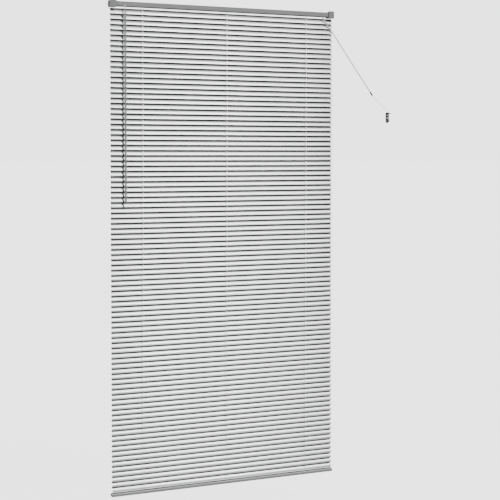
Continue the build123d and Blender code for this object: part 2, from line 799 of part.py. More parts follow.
def make_lift_cord_run(index, place, side_y):
    """A lift cord inside the headrail, from its cradle to the cord lock's mouth."""
    turn, mouth, joint, inside = strand_points(index)
    x = place + cord_offset
    points = [
        blind_point(x, 0, headrail_floor),
        blind_point(x, 0, cord_run_height),
    ]
    radii = [cord_turn_radius]
    if side_y:
        points.append(blind_point(x + 45, side_y, cord_run_height))
        points.append(blind_point(ladder_spacing + 14, side_y, cord_run_height + 0.2))
        radii += [60, 60]
    points.append(blind_point(lock_pin_place - 16, lock_cord_y(index), lock_cord_height))
    points.append(turn)
    points.append(mouth)
    points.append(joint)
    radii += [14, lock_pin_radius + cord_radius + cord_touch_gap]
    radii.append(mouth_lip_radius + cord_radius + cord_touch_gap)
    print("lift cord run", index, "radii", radii)
    return bent_cord(points, radii, cord_radius)


def make_pull_strand(index):
    turn, mouth, joint, inside = strand_points(index)
    return straight_cord(joint, inside, cord_radius)


def make_cord_connector():
    """Turned connector in two tapered halves that joins three cords to one."""
    half = connector_length / 2
    with BuildSketch(Plane.XZ) as profile:
        with BuildLine():
            Polyline(
                (0, -half),
                (connector_waist, -half),
                (connector_radius, -half / 2),
                (connector_radius, half / 2),
                (connector_waist + 0.4, half),
                (0, half),
                close=True,
            )
        make_face()
    body = revolve(profile.sketch, axis=Axis.Z)
    top = half - connector_bite / 2
    body -= Pos(Z=top) * Cylinder(strand_spread + cord_radius + cord_touch_gap, connector_bite)
    body -= Pos(Z=-top) * Cylinder(pull_cord_radius + 2 * cord_touch_gap, connector_bite)
    return Plane(origin=connector_middle, z_dir=-strand_direction) * body


def pull_cord_points():
    """The pull cord's route, from the connector over the upper prong and round the lower one."""
    x, z = cleat_place
    side = cleat_prong_width / 2 + pull_cord_radius + 0.4
    y = -pull_cord_reach
    under = z - cleat_lower_fall - cleat_prong_height / 2 - pull_cord_radius - 0.4
    start = connector_end - strand_direction * connector_bite
    over = z + cleat_upper_rise + cleat_prong_height / 2 + pull_cord_radius + 3
    return [
        start,
        connector_end + strand_direction * pull_cord_straight,
        Vector(x + side, y, over),
        Vector(x + side, y, under),
        Vector(x - side, y, under),
        Vector(x - side, y, under - pull_cord_tail),
    ]


def make_pull_cord():
    radii = [pull_cord_bend, pull_cord_fold, pull_cord_turn, pull_cord_turn]
    print("pull cord radii", radii)
    return bent_cord(pull_cord_points(), radii, pull_cord_radius)


def make_cord_cleat():
    """Wall plate with two prongs for winding the cord."""
    x, z = cleat_place
    plate = SlotOverall(cleat_plate_height, cleat_plate_width, rotation=90)
    face = Plane(origin=(x, 0, z), x_dir=(1, 0, 0), z_dir=(0, -1, 0))
    cleat = extrude(face * plate, cleat_plate)
    half = cleat_prong_height / 2
    upper = Polygon(
        (0, cleat_upper_rise - half),
        (0, cleat_upper_rise + half),
        (-cleat_upper_reach * 0.4, cleat_upper_rise + half - 1),
        (-cleat_upper_reach, cleat_upper_rise + half - 1.5),
        (-cleat_upper_reach, cleat_upper_rise - half + 1),
        (-cleat_upper_reach * 0.4, cleat_upper_rise - half + 1.5),
        align=None,
    )
    lower = Polygon(
        (0, -cleat_lower_fall + half),
        (-cleat_lower_reach * 0.7, -cleat_lower_fall + half - 1),
        (-cleat_lower_reach, -cleat_lower_fall - half),
        (-cleat_lower_reach + 1, -cleat_lower_fall - half - cleat_lower_hook),
        (-cleat_lower_reach + 5, -cleat_lower_fall - half - cleat_lower_hook),
        (-cleat_lower_reach + 5, -cleat_lower_fall - half),
        (0, -cleat_lower_fall - half),
        align=None,
    )
    side = Plane(origin=(x, 0, z), x_dir=(0, 1, 0), z_dir=(1, 0, 0))
    for prong in (upper, lower):
        cleat += extrude(side * prong, cleat_prong_width / 2, both=True)
    for sign in (-1, 1):
        hole = Pos(x, 0, z + 5 + sign * cleat_hole_spacing / 2) * Rot(X=90)
        cleat -= hole * Cylinder(cleat_hole_radius, 4 * cleat_plate)
    return cleat


def rail_outline(depth, height, corner):
    return RectangleRounded(depth, height, corner)


def make_bottom_rail():
    """Roll-formed tube with holes for the ladders, the cords and the buttons."""
    middle = (rail_top + rail_bottom) / 2
    outer = rail_outline(bottom_rail_depth, bottom_rail_height, bottom_rail_corner)
    wall = bottom_rail_wall
    inner = rail_outline(
        bottom_rail_depth - 2 * wall, bottom_rail_height - 2 * wall, bottom_rail_corner - wall
    )
    section = Pos(Y=middle) * (outer - inner)
    rail = lengthwise(side_profile(section), -slat_length / 2, slat_length / 2)
    for place in ladder_places.values():
        for side in (-1, 1):
            rail -= z_prism(string_hole_radius, 6, place, side * string_y, rail_top - 2, rail_top + 1)
        rail -= z_prism(cord_hole_radius, 6, place + cord_offset, 0, rail_top - 2, rail_top + 1)
        plug = button_plug_radius + button_fit
        rail -= z_prism(plug, button_sides, place + cord_offset, 0, rail_bottom - 1, rail_bottom + 2)
    return rail


def make_rail_cap(side):
    middle = (rail_top + rail_bottom) / 2
    wall = bottom_rail_wall
    flange = rail_outline(bottom_rail_depth, bottom_rail_height, bottom_rail_corner)
    plug_gap = 2 * (wall + cap_plug_gap)
    plug = rail_outline(
        bottom_rail_depth - plug_gap, bottom_rail_height - plug_gap, bottom_rail_corner - wall
    )
    hollow = Rectangle(bottom_rail_depth - plug_gap - 3, bottom_rail_height - plug_gap - 3)
    end = slat_length / 2
    cap = lengthwise(side_profile(Pos(Y=middle) * flange), end, end + rail_cap_flange)
    cap += lengthwise(side_profile(Pos(Y=middle) * (plug - hollow)), end - rail_cap_plug_length, end)
    return cap if side > 0 else mirror(cap, about=Plane.YZ)


def make_ladder_button(place):
    """Plug under the bottom rail that keeps the lift cord's end."""
    x = place + cord_offset
    top = rail_bottom + button_height
    button = z_prism(button_flange_radius, button_sides, x, 0, rail_bottom - button_flange, rail_bottom)
    button += z_prism(button_plug_radius, button_sides, x, 0, rail_bottom, top)
    inner = button_plug_radius - button_wall
    button -= z_prism(inner, button_sides, x, 0, rail_bottom - button_flange - 1, top - button_wall)
    button -= z_prism(cord_hole_radius, 6, x, 0, rail_bottom, top + 1)
    return button


parts = {
    "headrail": make_headrail(),
    "tilt_rod": make_tilt_rod(),
    "tilter_gear": make_tilter_gear(),
    "tilter_worm": make_tilter_worm(),
    "tilter_housing": make_tilter_housing(),
    "wand_link": make_wand_link(),
    "wand_socket": make_wand_socket(),
    "tilt_wand": make_tilt_wand(),
    "cord_lock_body": make_cord_lock_body(),
    "cord_lock_pin": make_cord_lock_pin(),
    "cord_lock_roller": make_cord_lock_roller(),
    "cord_connector": make_cord_connector(),
    "pull_cord": make_pull_cord(),
    "cord_cleat": make_cord_cleat(),
    "slats": make_slats(),
    "bottom_rail": make_bottom_rail(),
}
for side_name, side in (("left", -1), ("right", 1)):
    parts[f"end_cap_{side_name}"] = make_end_cap(side)
    parts[f"bracket_{side_name}"] = make_bracket(side)
    parts[f"bracket_door_{side_name}"] = make_door(side)
    parts[f"hinge_pin_{side_name}"] = make_hinge_pin(side)
    parts[f"rail_cap_{side_name}"] = make_rail_cap(side)
cord_lanes = {"left": 10.7, "centre": 9.0, "right": 0}
for index, (name, place) in enumerate(ladder_places.items()):
    parts[f"ladder_{name}"] = make_ladder(place)
    parts[f"ladder_drum_{name}"] = make_ladder_drum(place)
    parts[f"drum_cradle_{name}"] = make_drum_cradle(place)
    parts[f"ladder_button_{name}"] = make_ladder_button(place)
    parts[f"lift_cord_{name}"] = make_lift_cord_drop(place)
    parts[f"lift_cord_run_{name}"] = make_lift_cord_run(index, place, cord_lanes[name])
    parts[f"pull_strand_{name}"] = make_pull_strand(index)

for name, shape in parts.items():
    export_step(shape, f"parts/{name}.step")
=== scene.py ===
import json
import math

import bmesh
import bpy
from mathutils import Matrix, Vector


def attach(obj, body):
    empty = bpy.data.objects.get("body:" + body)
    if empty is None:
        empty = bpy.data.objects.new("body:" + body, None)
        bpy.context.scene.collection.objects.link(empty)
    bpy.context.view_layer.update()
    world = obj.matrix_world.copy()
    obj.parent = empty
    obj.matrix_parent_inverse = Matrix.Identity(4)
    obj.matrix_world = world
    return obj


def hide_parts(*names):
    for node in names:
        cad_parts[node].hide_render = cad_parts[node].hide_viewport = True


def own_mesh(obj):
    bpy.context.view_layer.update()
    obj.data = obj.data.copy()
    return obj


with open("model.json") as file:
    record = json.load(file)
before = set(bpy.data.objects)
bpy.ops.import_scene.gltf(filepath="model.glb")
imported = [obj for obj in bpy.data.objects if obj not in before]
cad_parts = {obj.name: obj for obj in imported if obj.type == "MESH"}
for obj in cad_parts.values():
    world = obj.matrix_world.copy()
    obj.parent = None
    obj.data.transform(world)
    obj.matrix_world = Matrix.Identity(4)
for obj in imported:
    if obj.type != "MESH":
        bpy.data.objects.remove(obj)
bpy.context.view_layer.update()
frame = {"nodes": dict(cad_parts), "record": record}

# Sizes repeated from the CAD source, in metres
BLIND_Y = -0.0155
SLAT_COUNT = 93
SLAT_PITCH = 0.021
SLAT_LENGTH = 1.0
SLAT_WIDTH = 0.025
SLAT_THICKNESS = 0.0003
SLAT_CROWN = 0.0016
SLAT_EDGE_DROP = 0.0004
SLAT_STRIPS = 12
SLAT_CORNER = 0.003
SLAT_END_NARROWING = 0.88
SLAT_TILT = math.radians(58)
FIRST_SLAT_Z = -0.0267
ROUTE_HOLE_WIDTH = 0.003
ROUTE_HOLE_LENGTH = 0.007
ROUTE_HOLE_SHIFT = 0.001
LADDER_PLACES = {"left": -0.37, "centre": 0.0, "right": 0.37}
LIFT_CORD_OFFSET = 0.008
STRING_Y = 0.007474
STRING_RADIUS = 0.0004
STRING_TOP = 0.0004
RUNG_RADIUS = 0.0003
RUNG_BELOW = 0.00115
CORD_RADIUS = 0.0007
PULL_CORD_RADIUS = 0.00075
KNOT_RADIUS = 0.0018
KNOT_DROP = 0.0014
HEADRAIL_FLOOR = -0.010
RAIL_TOP = -1.9752
STRING_INTO_RAIL = 0.005
LADDER_END = RAIL_TOP - STRING_INTO_RAIL
LIFT_CORD_END = -1.9842

# Round sides of thin cords
STRING_SIDES = 8
RUNG_SIDES = 5
CORD_SIDES = 10
ROUTE_ORDER = 3
ROUTE_STEPS = 10
ROUTE_BEVEL = 4
SMOOTH_ANGLE = 40

# Camera
SENSOR_WIDTH = 36
CAMERA_PLACE = (-1.972, -4.6565, -0.611)
CAMERA_FORWARD = (0.410, 0.912)
CAMERA_LENS = 86.8
CAMERA_SHIFT_X = -0.0008
CAMERA_SHIFT_Y = -0.0940
CAMERA_PITCH = math.radians(2.2)
FLOOR_HEIGHT = -2.12
FLOOR_SIZE = 600

# Light
WHITE_LIGHT = (1, 1, 1, 1)
WORLD_LIGHT = 0.025
BACKDROP_LIGHT = 3.0
KEY_FROM = (3.4, -6.2, 6.6)
KEY_STRENGTH = 3.6
KEY_SPREAD = math.radians(5)
FILL_PLACE = (-5.0, -1.6, 0.4)
FILL_TARGET = (0, 0, -0.9)
FILL_POWER = 110
FILL_SIZE = (1.5, 1.5)
BACK_PLACE = (-2.5, 6.0, -1.6)
BACK_TARGET = (0, 0, -1.0)
BACK_POWER = 160
BACK_SIZE = (3.0, 3.0)
FLOOR_GLOW = 3.0


def set_camera():
    """Camera at the photograph's angle: left of the blind, a third of the way down."""
    data = bpy.data.cameras.new("camera")
    data.lens = CAMERA_LENS
    data.sensor_width = SENSOR_WIDTH
    data.shift_x = CAMERA_SHIFT_X
    data.shift_y = CAMERA_SHIFT_Y
    camera = bpy.data.objects.new("camera", data)
    bpy.context.collection.objects.link(camera)
    camera.location = CAMERA_PLACE
    heading = math.atan2(CAMERA_FORWARD[0], CAMERA_FORWARD[1])
    camera.rotation_euler = (math.pi / 2 - CAMERA_PITCH, 0, -heading)
    bpy.context.scene.camera = camera


def place_light(name, data, place, target):
    light = bpy.data.objects.new(name, data)
    bpy.context.collection.objects.link(light)
    light.location = place
    aim = Vector(target) - Vector(place)
    light.rotation_euler = aim.to_track_quat("-Z", "Y").to_euler()


def add_area_light(name, place, target, size, power):
    data = bpy.data.lights.new(name, "AREA")
    data.shape = "RECTANGLE"
    data.size, data.size_y = size
    data.energy = power
    place_light(name, data, place, target)


def add_sun(name, place, strength, spread):
    """An even light that falls on the top and bottom slats alike."""
    data = bpy.data.lights.new(name, "SUN")
    data.energy = strength
    data.angle = spread
    place_light(name, data, place, (0, 0, 0))


def set_lights():
    """A white studio: the camera sees a brighter backdrop than the one that lights the object."""
    world = bpy.data.worlds.new("studio")
    bpy.context.scene.world = world
    world.use_nodes = True
    nodes = world.node_tree.nodes
    links = world.node_tree.links
    soft = nodes["Background"]
    soft.inputs["Color"].default_value = WHITE_LIGHT
    soft.inputs["Strength"].default_value = WORLD_LIGHT
    seen = nodes.new("ShaderNodeBackground")
    seen.inputs["Color"].default_value = WHITE_LIGHT
    seen.inputs["Strength"].default_value = BACKDROP_LIGHT
    path = nodes.new("ShaderNodeLightPath")
    mix = nodes.new("ShaderNodeMixShader")
    links.new(path.outputs["Is Camera Ray"], mix.inputs["Fac"])
    links.new(soft.outputs["Background"], mix.inputs[1])
    links.new(seen.outputs["Background"], mix.inputs[2])
    links.new(mix.outputs["Shader"], nodes["World Output"].inputs["Surface"])
    add_sun("key", KEY_FROM, KEY_STRENGTH, KEY_SPREAD)
    add_area_light("fill", FILL_PLACE, FILL_TARGET, FILL_SIZE, FILL_POWER)
    add_area_light("back", BACK_PLACE, BACK_TARGET, BACK_SIZE, BACK_POWER)


# Materials
GRAIN_DETAIL = 3.0
CLOUD_SCALE = 6.0
CLOUD_DETAIL = 2.0
NOISE_MIDDLE = 0.5
GRAIN_HEIGHT = 0.0002
# Painted shade: how much darker the cord colour is made in the valleys between braid strands
BRAID_VALLEY_SHADE = 0.72
BRAID_BUMP = 0.6
BRAID_HEIGHT = 0.0002
BRAID_ROUGHNESS = 0.8
BRAID_SHEEN = 0.3


def input_socket(group, name, kind, value):
    socket = group.interface.new_socket(name=name, in_out="INPUT", socket_type=kind)
    socket.default_value = value
    return socket


def finish_group():
    """Shared finish: a base colour with soft mottling and fine grain that also varies gloss and height."""
    group = bpy.data.node_groups.new("finish", "ShaderNodeTree")
    input_socket(group, "Colour", "NodeSocketColor", (0.5, 0.5, 0.5, 1))
    input_socket(group, "Roughness", "NodeSocketFloat", 0.4)
    input_socket(group, "Mottling", "NodeSocketFloat", 0.04)
    input_socket(group, "Grain", "NodeSocketFloat", 0.1)
    input_socket(group, "Grain size", "NodeSocketVector", (400, 400, 400))
    group.interface.new_socket(name="Colour", in_out="OUTPUT", socket_type="NodeSocketColor")
    group.interface.new_socket(name="Roughness", in_out="OUTPUT", socket_type="NodeSocketFloat")
    group.interface.new_socket(name="Normal", in_out="OUTPUT", socket_type="NodeSocketVector")
    nodes = group.nodes
    links = group.links
    given = nodes.new("NodeGroupInput")
    out = nodes.new("NodeGroupOutput")
    place = nodes.new("ShaderNodeTexCoord")
    stretch = nodes.new("ShaderNodeVectorMath")
    stretch.operation = "MULTIPLY"
    links.new(place.outputs["Object"], stretch.inputs[0])
    links.new(given.outputs["Grain size"], stretch.inputs[1])
    grain = nodes.new("ShaderNodeTexNoise")
    grain.inputs["Scale"].default_value = 1.0
    grain.inputs["Detail"].default_value = GRAIN_DETAIL
    links.new(stretch.outputs["Vector"], grain.inputs["Vector"])
    cloud = nodes.new("ShaderNodeTexNoise")
    cloud.inputs["Scale"].default_value = CLOUD_SCALE
    cloud.inputs["Detail"].default_value = CLOUD_DETAIL
    links.new(place.outputs["Object"], cloud.inputs["Vector"])
    centred = nodes.new("ShaderNodeMath")
    centred.operation = "SUBTRACT"
    centred.inputs[1].default_value = NOISE_MIDDLE
    links.new(cloud.outputs["Fac"], centred.inputs[0])
    shade = nodes.new("ShaderNodeMath")
    shade.operation = "MULTIPLY_ADD"
    shade.inputs[2].default_value = 1.0
    links.new(centred.outputs[0], shade.inputs[0])
    links.new(given.outputs["Mottling"], shade.inputs[1])
    tint = nodes.new("ShaderNodeVectorMath")
    tint.operation = "SCALE"
    links.new(given.outputs["Colour"], tint.inputs[0])
    links.new(shade.outputs[0], tint.inputs["Scale"])
    gloss = nodes.new("ShaderNodeMath")
    gloss.operation = "MULTIPLY_ADD"
    links.new(centred.outputs[0], gloss.inputs[0])
    links.new(given.outputs["Mottling"], gloss.inputs[1])
    links.new(given.outputs["Roughness"], gloss.inputs[2])
    bump = nodes.new("ShaderNodeBump")
    bump.inputs["Distance"].default_value = GRAIN_HEIGHT
    links.new(given.outputs["Grain"], bump.inputs["Strength"])
    links.new(grain.outputs["Fac"], bump.inputs["Height"])
    links.new(tint.outputs["Vector"], out.inputs["Colour"])
    links.new(gloss.outputs[0], out.inputs["Roughness"])
    links.new(bump.outputs["Normal"], out.inputs["Normal"])
    return group


FINISH = finish_group()


def finish_material(name, colour, metallic, roughness, mottling, grain, size=(400, 400, 400), coat=0.0):
    """One finish: colour, metal or not, gloss, soft mottling, and the depth and size of its grain."""
    material = bpy.data.materials.new(name)
    material.use_nodes = True
    nodes = material.node_tree.nodes
    links = material.node_tree.links
    finish = nodes.new("ShaderNodeGroup")
    finish.node_tree = FINISH
    finish.inputs["Colour"].default_value = (*colour, 1)
    finish.inputs["Roughness"].default_value = roughness
    finish.inputs["Mottling"].default_value = mottling
    finish.inputs["Grain"].default_value = grain
    finish.inputs["Grain size"].default_value = size
    shader = nodes["Principled BSDF"]
    shader.inputs["Metallic"].default_value = metallic
    shader.inputs["Coat Weight"].default_value = coat
    links.new(finish.outputs["Colour"], shader.inputs["Base Color"])
    links.new(finish.outputs["Roughness"], shader.inputs["Roughness"])
    links.new(finish.outputs["Normal"], shader.inputs["Normal"])
    return material


def braid_material(name, colour, strands_per_metre):
    """Braided cord: two sets of slanted bands that cross, with painted shade darkening the valleys between
    them.
    """
    material = bpy.data.materials.new(name)
    material.use_nodes = True
    nodes = material.node_tree.nodes
    links = material.node_tree.links
    shader = nodes["Principled BSDF"]
    place = nodes.new("ShaderNodeTexCoord")
    heights = []
    for lean in (1.0, -1.0):
        wave = nodes.new("ShaderNodeTexWave")
        wave.bands_direction = "DIAGONAL"
        wave.inputs["Scale"].default_value = 1.0
        turn = nodes.new("ShaderNodeVectorMath")
        turn.operation = "MULTIPLY"
        turn.inputs[1].default_value = (lean * strands_per_metre, strands_per_metre, strands_per_metre)
        links.new(place.outputs["Object"], turn.inputs[0])
        links.new(turn.outputs["Vector"], wave.inputs["Vector"])
        heights.append(wave.outputs["Fac"])
    weave = nodes.new("ShaderNodeMath")
    weave.operation = "MAXIMUM"
    links.new(heights[0], weave.inputs[0])
    links.new(heights[1], weave.inputs[1])
    # Painted shade: the low parts of the weave take a darker copy of the cord colour
    ramp = nodes.new("ShaderNodeMix")
    ramp.data_type = "RGBA"
    ramp.inputs["A"].default_value = (*[BRAID_VALLEY_SHADE * c for c in colour], 1)
    ramp.inputs["B"].default_value = (*colour, 1)
    links.new(weave.outputs[0], ramp.inputs["Factor"])
    links.new(ramp.outputs["Result"], shader.inputs["Base Color"])
    bump = nodes.new("ShaderNodeBump")
    bump.inputs["Strength"].default_value = BRAID_BUMP
    bump.inputs["Distance"].default_value = BRAID_HEIGHT
    links.new(weave.outputs[0], bump.inputs["Height"])
    links.new(bump.outputs["Normal"], shader.inputs["Normal"])
    shader.inputs["Roughness"].default_value = BRAID_ROUGHNESS
    shader.inputs["Sheen Weight"].default_value = BRAID_SHEEN
    return material


SLAT = finish_material("slat_metal", (0.34, 0.345, 0.35), 0.5, 0.35, 0.05, 0.05, (30, 900, 900))
RAIL = finish_material("rail_metal", (0.37, 0.375, 0.38), 0.3, 0.4, 0.05, 0.06, (30, 900, 900))
ZINC = finish_material("zinc_steel", (0.42, 0.43, 0.44), 0.6, 0.38, 0.12, 0.15, (500, 500, 500))
CAP = finish_material("cap_plastic", (0.42, 0.43, 0.44), 0.0, 0.45, 0.04, 0.2, (1500, 1500, 1500))
WHITE = finish_material("white_plastic", (0.72, 0.72, 0.70), 0.0, 0.42, 0.03, 0.2, (1500, 1500, 1500))
BRASS = finish_material("roller_brass", (0.65, 0.50, 0.25), 0.9, 0.3, 0.08, 0.4, (60, 2500, 60))
WAND = finish_material("wand_clear", (0.33, 0.335, 0.34), 0.0, 0.28, 0.03, 0.02, (200, 200, 30), 0.4)
FITTING = finish_material("wand_fitting", (0.38, 0.39, 0.40), 0.1, 0.2, 0.03, 0.1, (900, 900, 900), 0.4)
CONNECTOR = finish_material(
    "connector_plastic", (0.07, 0.072, 0.076), 0.0, 0.4, 0.05, 0.2, (1200, 1200, 1200)
)
CLEAT = finish_material("cleat_plastic", (0.09, 0.092, 0.095), 0.0, 0.5, 0.06, 0.2, (700, 700, 700))
CORD = braid_material("cord_fibre", (0.78, 0.78, 0.77), 1400)
LADDER = braid_material("ladder_fibre", (0.55, 0.55, 0.54), 2600)

SLOT_MATERIALS = {
    "slat_metal": SLAT,
    "rail_metal": RAIL,
    "zinc_steel": ZINC,
    "cap_plastic": CAP,
    "white_plastic": WHITE,
    "roller_brass": BRASS,
    "wand_clear": WAND,
    "wand_fitting": FITTING,
    "connector_plastic": CONNECTOR,
    "cleat_plastic": CLEAT,
    "cord_fibre": CORD,
}


def paint_cad_nodes():
    """Gives every CAD node the procedural material of its slot."""
    for subpart in frame["record"]["subparts"]:
        node = frame["nodes"][subpart["node"]]
        material = SLOT_MATERIALS[subpart["material_slot"]]
        for place in node.material_slots:
            place.material = material


def shade_smooth(mesh, angle):
    for polygon in mesh.polygons:
        polygon.use_smooth = True
    mesh.set_sharp_from_angle(angle=math.radians(angle))


# Shaping by hand
def add_primitive(operator, **sizes):
    """Adds one primitive with nothing else selected and opens it in edit mode."""
    bpy.ops.object.select_all(action="DESELECT")
    operator(**sizes)
    bpy.ops.object.mode_set(mode="EDIT")
    return bpy.context.object


def choose(kind, wanted):
    """Selects the corners, edges or faces of the open piece whose middle is wanted."""
    bpy.ops.mesh.select_mode(type=kind)
    bpy.ops.mesh.select_all(action="DESELECT")
    mesh = bpy.context.object.data
    shape = bmesh.from_edit_mesh(mesh)
    parts = {"VERT": shape.verts, "EDGE": shape.edges, "FACE": shape.faces}[kind]
    for part in parts:
        corners = [part] if kind == "VERT" else part.verts
        middle = sum((corner.co for corner in corners), Vector()) / len(corners)
        if wanted(middle):
            part.select_set(True)
    shape.select_flush_mode()
    bmesh.update_edit_mesh(mesh)


def cut_across(place, normal):
    """Adds a line of edges where a plane meets the open piece."""
    bpy.ops.mesh.select_all(action="SELECT")
    bpy.ops.mesh.bisect(plane_co=place, plane_no=normal)


def apply_modifier(piece, kind, **settings):
    """Adds one modifier to a piece, sets it and applies it."""
    bpy.context.view_layer.objects.active = piece
    modifier = piece.modifiers.new(kind.lower(), kind)
    for name, value in settings.items():
        setattr(modifier, name, value)
    bpy.ops.object.modifier_apply(modifier=modifier.name)


def finish_piece(piece, name, material, body, replaced):
    """Names a modelled piece, gives it its finish and hangs it on its CAD body."""
    piece.name = name
    piece.data.materials.clear()
    piece.data.materials.append(material)
    shade_smooth(piece.data, SMOOTH_ANGLE)
    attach(piece, body)
    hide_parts(*replaced)
    return piece


# Slats
def is_route_hole(at):
    for place in LADDER_PLACES.values():
        if abs(at.x - place - LIFT_CORD_OFFSET) < ROUTE_HOLE_WIDTH / 2:
            return abs(at.y - ROUTE_HOLE_SHIFT) < ROUTE_HOLE_LENGTH / 2
    return False


def model_slat():
    """One slat: its front edge spun into a crown, holes cut out, corners drawn in, and given thickness."""
    half = SLAT_WIDTH / 2
    radius = (half**2 + SLAT_CROWN**2) / (2 * SLAT_CROWN)
    middle_z = SLAT_CROWN - SLAT_EDGE_DROP - radius
    slat = add_primitive(bpy.ops.mesh.primitive_plane_add, size=SLAT_LENGTH)
    choose("VERT", lambda at: at.y > 0)
    bpy.ops.mesh.delete(type="VERT")
    bpy.ops.mesh.select_all(action="SELECT")
    bpy.ops.transform.translate(value=(0, SLAT_LENGTH / 2 - half, -SLAT_EDGE_DROP))
    sweep = 2 * math.asin(half / radius)
    bpy.ops.mesh.spin(steps=SLAT_STRIPS, angle=sweep, center=(0, 0, middle_z), axis=(1, 0, 0))
    for place in LADDER_PLACES.values():
        for side in (-1, 1):
            cut_across((place + LIFT_CORD_OFFSET + side * ROUTE_HOLE_WIDTH / 2, 0, 0), (1, 0, 0))
    for side in (-1, 1):
        cut_across((0, ROUTE_HOLE_SHIFT + side * ROUTE_HOLE_LENGTH / 2, 0), (0, 1, 0))
        cut_across((side * (SLAT_LENGTH / 2 - SLAT_CORNER), 0, 0), (1, 0, 0))
    choose("FACE", is_route_hole)
    bpy.ops.mesh.delete(type="FACE")
    choose("VERT", lambda at: abs(at.x) > SLAT_LENGTH / 2 - SLAT_CORNER / 2)
    bpy.ops.transform.resize(value=(1, SLAT_END_NARROWING, 1), center_override=(0, 0, 0))
    bpy.ops.mesh.select_all(action="SELECT")
    bpy.ops.mesh.normals_make_consistent(inside=False)
    bpy.ops.object.mode_set(mode="OBJECT")
    up = sum(face.normal.z for face in slat.data.polygons)
    side = 1 if up > 0 else -1
    apply_modifier(slat, "SOLIDIFY", thickness=SLAT_THICKNESS, offset=side, use_even_offset=True)
    slat.rotation_euler = (SLAT_TILT, 0, 0)
    slat.location = (0, BLIND_Y, FIRST_SLAT_Z)
    bpy.ops.object.transform_apply()
    return slat


def make_slats():
    """The top slat, copied down the ladder and joined to one set."""
    top = model_slat()
    copies = []
    for i in range(1, SLAT_COUNT):
        copy = top.copy()
        copy.data = top.data.copy()
        copy.location = (0, 0, -i * SLAT_PITCH)
        bpy.context.collection.objects.link(copy)
        copies.append(copy)
    bpy.ops.object.select_all(action="DESELECT")
    for piece in [top, *copies]:
        piece.select_set(True)
    bpy.context.view_layer.objects.active = top
    bpy.ops.object.join()
    return finish_piece(top, "slat_set", SLAT, "frame", ["slats"])


# Cords
def add_tube(bm, start, end, radius, sides):
    """A closed straight tube between two points."""
    direction = (Vector(end) - Vector(start)).normalized()
    side = direction.orthogonal().normalized()
    other = direction.cross(side)
    rings = []
    for centre in (Vector(start), Vector(end)):
        ring = []
        for i in range(sides):
            angle = 2 * math.pi * i / sides
            ring.append(bm.verts.new(centre + radius * (math.cos(angle) * side + math.sin(angle) * other)))
        rings.append(ring)
    first, last = rings
    for i in range(sides):
        after = (i + 1) % sides
        bm.faces.new((first[i], first[after], last[after], last[i]))
    bm.faces.new(first)
    bm.faces.new(last)


def ladder_maker(place):
    """Front and back strings with a rung under each slat."""

    def make(bm):
        for side in (-1, 1):
            y = BLIND_Y + side * STRING_Y
            add_tube(bm, (place, y, STRING_TOP), (place, y, LADDER_END), STRING_RADIUS, STRING_SIDES)
        middle_y = RUNG_BELOW * math.sin(SLAT_TILT)
        middle_z = -RUNG_BELOW * math.cos(SLAT_TILT)
        for i in range(SLAT_COUNT):
            z = FIRST_SLAT_Z - i * SLAT_PITCH + middle_z
            front = (place, BLIND_Y - STRING_Y, z - (STRING_Y + middle_y) * math.tan(SLAT_TILT))
            back = (place, BLIND_Y + STRING_Y, z + (STRING_Y - middle_y) * math.tan(SLAT_TILT))
            add_tube(bm, front, back, RUNG_RADIUS, RUNG_SIDES)

    return make


def lift_cord_maker(place):
    """A straight drop through the slats with a knot under the bottom rail."""

    def make(bm):
        x = place + LIFT_CORD_OFFSET
        add_tube(bm, (x, BLIND_Y, HEADRAIL_FLOOR), (x, BLIND_Y, LIFT_CORD_END), CORD_RADIUS, CORD_SIDES)
        knot = Matrix.Translation((x, BLIND_Y, LIFT_CORD_END - KNOT_DROP))
        bmesh.ops.create_icosphere(bm, subdivisions=2, radius=KNOT_RADIUS, matrix=knot)

    return make


def add_cord_piece(name, mesh_maker, material, replaced):
    """Makes a straight cord or ladder as a mesh and hangs it on the frame."""
    mesh = bpy.data.meshes.new(name)
    shape = bmesh.new()
    mesh_maker(shape)
    bmesh.ops.recalc_face_normals(shape, faces=shape.faces)
    shape.to_mesh(mesh)
    shape.free()
    piece = bpy.data.objects.new(name, mesh)
    bpy.context.collection.objects.link(piece)
    return finish_piece(piece, name, material, "frame", replaced)


def add_route(name, points, radius, body, replaced):
    """A cord on one smooth NURBS line."""
    curve = bpy.data.curves.new(name, "CURVE")
    curve.dimensions = "3D"
    curve.bevel_depth = radius
    curve.bevel_resolution = ROUTE_BEVEL
    curve.use_fill_caps = True
    spline = curve.splines.new("NURBS")
    spline.points.add(len(points) - 1)
    for target, point in zip(spline.points, points):
        target.co = (*point, 1)
    spline.order_u = ROUTE_ORDER
    spline.use_endpoint_u = True
    spline.resolution_u = ROUTE_STEPS
    piece = bpy.data.objects.new(name, curve)
    bpy.context.collection.objects.link(piece)
    curve.materials.append(CORD)
    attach(piece, body)
    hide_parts(*replaced)
    return piece


ROUTES = {
    "left": [
        (-0.362, -0.0155, -0.0100),
        (-0.362, -0.0155, -0.0035),
        (-0.355, -0.0138, -0.0035),
        (-0.317, -0.0048, -0.0035),
        (0.384, -0.0048, -0.0033),
        (0.4250, -0.0215, -0.0015),
        (0.4422, -0.0215, -0.0015),
        (0.4516, -0.0257, -0.0094),
        (0.4553, -0.02555, -0.01417),
    ],
    "centre": [
        (0.008, -0.0155, -0.0100),
        (0.008, -0.0155, -0.0035),
        (0.015, -0.0145, -0.0035),
        (0.053, -0.0065, -0.0035),
        (0.384, -0.0065, -0.0033),
        (0.4250, -0.0234, -0.0015),
        (0.4426, -0.0234, -0.0015),
        (0.4487, -0.02595, -0.0094),
        (0.4523, -0.0258, -0.01416),
    ],
    "right": [
        (0.378, -0.0155, -0.0100),
        (0.378, -0.0155, -0.0035),
        (0.386, -0.0172, -0.0032),
        (0.4250, -0.0253, -0.0015),
        (0.4432, -0.0253, -0.0015),
        (0.4465, -0.0262, -0.0094),
        (0.4502, -0.02604, -0.01416),
    ],
}
